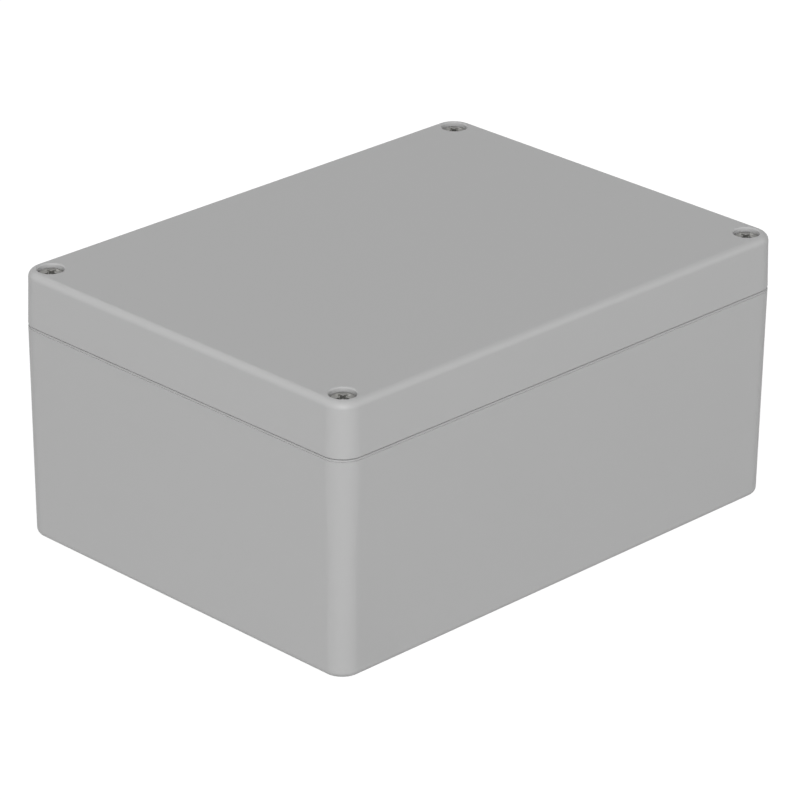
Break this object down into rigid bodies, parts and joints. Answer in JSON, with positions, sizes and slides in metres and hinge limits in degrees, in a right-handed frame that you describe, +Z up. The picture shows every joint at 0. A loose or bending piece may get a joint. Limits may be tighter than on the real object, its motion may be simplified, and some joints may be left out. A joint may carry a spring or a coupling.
{
  "type": "plastic enclosure",
  "caption": "Rectangular sealed plastic enclosure: drafted base, lid with rounded edges held by recessed captive corner screws, and a gasket in a tongue-and-groove seam.",
  "frame": {"origin": "middle of the base's underside", "axes": "+X along the longer side, +Y along the shorter side, +Z up through the lid"},
  "size_m": [0.16, 0.12, 0.075],
  "materials": {
    "base": "light grey moulded plastic, fine satin",
    "lid": "light grey moulded plastic, fine satin",
    "gasket": "soft black rubber",
    "lid_screw": "dull stainless steel",
    "insert": "knurled brass"
  },
  "bodies": {
    "base": {"base": "base", "insert_front_left": "insert", "insert_front_right": "insert", "insert_back_right": "insert", "insert_back_left": "insert"},
    "lid": {"lid": "lid", "gasket": "gasket"},
    "screw_front_left": {"lid_screw_front_left": "lid_screw"},
    "screw_front_right": {"lid_screw_front_right": "lid_screw"},
    "screw_back_right": {"lid_screw_back_right": "lid_screw"},
    "screw_back_left": {"lid_screw_back_left": "lid_screw"}
  },
  "joints": [
    {"name": "lid_lift", "type": "slide", "parent": "base", "child": "lid", "axis": [0, 0, 1], "range_m": [0, 0.1]},
    {"name": "screw_front_left_turn", "type": "hinge", "parent": "lid", "child": "screw_front_left", "pos_m": [-0.0737, -0.0537, 0.0714], "axis": [0, 0, 1], "continuous": true},
    {"name": "screw_front_right_turn", "type": "hinge", "parent": "lid", "child": "screw_front_right", "pos_m": [0.0737, -0.0537, 0.0714], "axis": [0, 0, 1], "continuous": true},
    {"name": "screw_back_right_turn", "type": "hinge", "parent": "lid", "child": "screw_back_right", "pos_m": [0.0737, 0.0537, 0.0714], "axis": [0, 0, 1], "continuous": true},
    {"name": "screw_back_left_turn", "type": "hinge", "parent": "lid", "child": "screw_back_left", "pos_m": [-0.0737, 0.0537, 0.0714], "axis": [0, 0, 1], "continuous": true}
  ]
}
